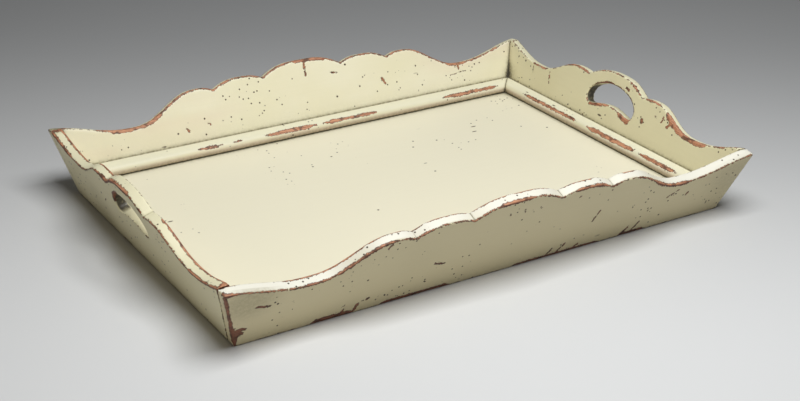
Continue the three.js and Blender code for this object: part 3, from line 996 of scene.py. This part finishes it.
def painted_wood(name, light, aged, top_face_lighting, upright, blush, spotless):
    """Hand-brushed cream paint over red-brown wood, rubbed through, flecked and glazed.

    The paint takes a tone painted for the light on faces that lie up, and the upright tone on faces that
    stand, which on the moulding's nose is a painted shade.
    """
    finish = Finish(name)
    grain = finish.attribute("grain", "Vector")
    worn = finish.attribute("worn", "Fac")
    glaze_and_shade = finish.attribute("glaze_and_shade", "Fac")

    cloudy = finish.noise(grain, scale=9, detail=3, roughness=0.55)
    paint = finish.blend(finish.step(cloudy, 0.35, 0.68, high=0.5), light, aged)
    along_the_grain = finish.stretched(grain, (10, 330, 330))
    brushed = finish.noise(along_the_grain, scale=1, detail=3, roughness=0.6)
    paint = finish.blend(finish.step(brushed, 0.35, 0.7, high=0.16), paint, aged)
    flush = finish.noise(finish.stretched(grain, (5, 16, 16)), scale=1, detail=2, roughness=0.5)
    paint = finish.blend(finish.step(flush, 0.5, 0.78, high=blush), paint, PINK)

    facing = finish.tree.nodes.new("ShaderNodeSeparateXYZ")
    finish.feed(facing.inputs[0], finish.tree.nodes.new("ShaderNodeNewGeometry").outputs["Normal"])
    upward = facing.outputs["Z"]
    # Tones painted for the light: one on faces that lie up, and one on faces that stand, a painted shade
    # on the moulding's nose.
    paint = finish.blend(finish.step(upward, 0.5, 0.95), paint, top_face_lighting)
    paint = finish.blend(finish.step(upward, 0.02, 0.55, low=0.9, high=0.0), paint, upright)

    # The glaze attribute darkens the paint: real glaze and grime, and painted shade in the corners, over
    # the moulding, in the notches, in the hand-hold and on the moulding's lower nose.
    glaze_breakup = finish.noise(grain, scale=260, detail=4, roughness=0.7)
    glaze_and_shade_amount = finish.sums("MULTIPLY", glaze_and_shade, finish.step(glaze_breakup, 0.3, 0.65, low=0.75, high=1.15))
    paint = finish.blend(finish.step(glaze_and_shade_amount, 0.0, 0.7, high=0.85), paint, THIN_GLAZE_AND_SHADE)
    paint = finish.blend(finish.step(glaze_and_shade_amount, 0.35, 1.0, high=0.93), paint, THICK_GLAZE_AND_SHADE)
    flecks = dark_flecks(finish, grain, spotless)
    paint = finish.blend(flecks, paint, FLECK)

    edge = torn_field(finish, grain, worn)
    bare = finish.step(edge, -0.08, 0.12)
    fibre = finish.noise(finish.stretched(grain, (30, 700, 700)), scale=1, detail=4, roughness=0.65)
    bare_wood = rubbed_wood(finish, grain, fibre, upward, edge)
    finish.feed(finish.shader.inputs["Base Color"], finish.blend(bare, paint, bare_wood))

    sheen = finish.step(brushed, 0.3, 0.75, low=0.42, high=0.54)
    rough = finish.sums("ADD", sheen, finish.sums("MULTIPLY", bare, 0.12))
    finish.feed(finish.shader.inputs["Roughness"], rough)
    finish.shader.inputs["Specular IOR Level"].default_value = 0.4

    film = finish.sums("MULTIPLY", bare, -0.22)
    strokes = finish.sums("MULTIPLY", brushed, 0.07)
    pits = finish.sums("MULTIPLY", flecks, -0.25)
    pores = finish.sums("MULTIPLY", finish.sums("MULTIPLY", fibre, bare), 0.18)
    height = finish.sums("ADD", finish.sums("ADD", film, strokes), finish.sums("ADD", pits, pores))
    finish.relief(height, 1 * MM)
    return finish.material


def nail_steel():
    finish = Finish("nail_steel")
    coordinates = finish.tree.nodes.new("ShaderNodeTexCoord").outputs["Object"]
    rust = finish.noise(coordinates, scale=600, detail=3, roughness=0.6)
    tone = finish.blend(finish.step(rust, 0.45, 0.7), STEEL, RUST)
    finish.feed(finish.shader.inputs["Base Color"], tone)
    finish.shader.inputs["Metallic"].default_value = 0.85
    finish.feed(finish.shader.inputs["Roughness"], finish.step(rust, 0.4, 0.7, low=0.35, high=0.7))
    finish.relief(rust, 0.1 * MM)
    return finish.material


# ------------------------------------------------------------------ the tray

SMOOTH_BELOW = 50  # degrees up to which two faces are shaded as one
STRIP_SHIFT = 0.5  # how far a moulding's grain pattern lies from that of its board


def finish_piece(piece, node, material):
    take(piece)
    bpy.ops.object.shade_smooth_by_angle(angle=math.radians(SMOOTH_BELOW))
    piece.data.materials.clear()
    piece.data.materials.append(material)
    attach(piece, "root")
    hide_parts(node)


def build_tray():
    paints = {place: painted_wood(place + "_paint", *mix) for place, mix in PAINTS.items()}
    # Place, kind, turn, arris rows, patch rows, painted corner shade at the low and the high end, shift of
    # the grain.
    boards = [
        ("front", "side", 0, FRONT_ARRISES, FRONT_PATCHES, (0.3, 0.5), 0.0),
        ("right", "end", 90, RIGHT_ARRISES, RIGHT_PATCHES, (0.3, 1.0), 1.3),
        ("back", "side", 180, BACK_ARRISES, BACK_PATCHES, (1.0, 0.4), 2.1),
        ("left", "end", -90, LEFT_ARRISES, LEFT_PATCHES, (0.4, 0.3), 3.3),
    ]
    for place, kind, turn, rows, patches, corner_shade, shift in boards:
        long_board = kind == "side"
        node = place + "_" + kind
        smudges = SMUDGES[place]
        piece = board("painted_" + node, long_board, turn, rows, patches, smudges, corner_shade, shift)
        finish_piece(piece, node, paints[place])
        node = place + "_moulding"
        bare = MOULDING_PATCHES[place]
        piece = moulding("painted_" + node, long_board, turn, bare, shift + STRIP_SHIFT)
        finish_piece(piece, node, paints["moulding"])
    finish_piece(floor_panel(), "floor_panel", paints["floor"])


def paint_nails():
    steel = nail_steel()
    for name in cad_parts:
        if "_nail_" in name or "_pin_" in name:
            node = bpy.data.objects[name]
            node.data.materials.clear()
            node.data.materials.append(steel)


# ------------------------------------------------------------------ studio

SHEET_SIZE = 16
SHEET_TURN = 32.4  # degrees; the paper darkens away from the camera
DARKENS_FROM, DARKENS_TO = -0.45, 0.7
# The paper's colour darkens away from the camera: a painted falloff of the light.
LIT_NEAR_PAPER = colour(0.64, 0.63, 0.6)
SHADED_FAR_PAPER = colour(0.36, 0.355, 0.34)
COOL_WHITE = (0.92, 0.95, 1.0)
WARM_WHITE = (1.0, 0.82, 0.55)
ROOM = colour(0.8, 0.82, 0.85)
ROOM_STRENGTH = 0.09


def studio_floor():
    bpy.ops.object.select_all(action="DESELECT")
    bpy.ops.mesh.primitive_plane_add(size=SHEET_SIZE, location=(0, 0, 0))
    sheet = bpy.context.object
    sheet.name = "studio_floor"
    finish = Finish("studio_paper")
    coordinates = finish.tree.nodes.new("ShaderNodeTexCoord").outputs["Object"]
    turned = finish.tree.nodes.new("ShaderNodeMapping")
    turned.inputs["Rotation"].default_value = (0, 0, math.radians(SHEET_TURN))
    finish.feed(turned.inputs["Vector"], coordinates)
    split = finish.tree.nodes.new("ShaderNodeSeparateXYZ")
    finish.feed(split.inputs[0], turned.outputs[0])
    away = finish.step(split.outputs["Y"], DARKENS_FROM, DARKENS_TO)
    finish.feed(finish.shader.inputs["Base Color"], finish.blend(away, LIT_NEAR_PAPER, SHADED_FAR_PAPER))
    finish.shader.inputs["Roughness"].default_value = 0.7
    sheet.data.materials.append(finish.material)


def lamp(name, place, aim, width, depth, power, tint):
    bpy.ops.object.select_all(action="DESELECT")
    bpy.ops.object.light_add(type="AREA", location=place)
    light = bpy.context.object
    light.name = name
    light.data.shape = "RECTANGLE"
    light.data.size = width
    light.data.size_y = depth
    light.data.energy = power
    light.data.color = tint
    light.rotation_euler = (Vector(aim) - Vector(place)).to_track_quat("-Z", "Y").to_euler()


def studio_light():
    lamp(
        "overhead_softbox",
        place=(0.0, -0.47, 1.45),
        aim=(0.0, -0.1, 0.0),
        width=1.2,
        depth=0.86,
        power=29.5,
        tint=COOL_WHITE,
    )
    lamp(
        "warm_fill",
        place=(-1.9, -0.9, 0.5),
        aim=(0.0, 0.0, 0.05),
        width=1.4,
        depth=0.7,
        power=2.0,
        tint=WARM_WHITE,
    )
    world = bpy.data.worlds.new("studio")
    bpy.context.scene.world = world
    world.use_nodes = True
    background = world.node_tree.nodes["Background"]
    background.inputs["Color"].default_value = ROOM
    background.inputs["Strength"].default_value = ROOM_STRENGTH


def studio_camera():
    turn, rise, roll = -32.41, 24.99, 0.97
    distance = 1716.3 * MM
    target = Vector((-47.2, -83.7, 44.0)) * MM
    back = Vector((sin(turn) * cos(rise), -cos(turn) * cos(rise), sin(rise)))
    bpy.ops.object.select_all(action="DESELECT")
    bpy.ops.object.camera_add()
    camera = bpy.context.object
    camera.data.sensor_width = 36
    camera.data.lens = 65.98
    camera.data.clip_start = 0.05
    swing = Matrix.Rotation(math.radians(turn), 4, "Z")
    swing = swing @ Matrix.Rotation(math.radians(90 - rise), 4, "X")
    tilt = Matrix.Rotation(math.radians(roll), 4, "Z")
    camera.matrix_world = Matrix.Translation(target + back * distance) @ swing @ tilt
    bpy.context.scene.camera = camera
    bpy.context.scene.view_settings.view_transform = "Standard"


build_tray()
paint_nails()
studio_floor()
studio_light()
studio_camera()
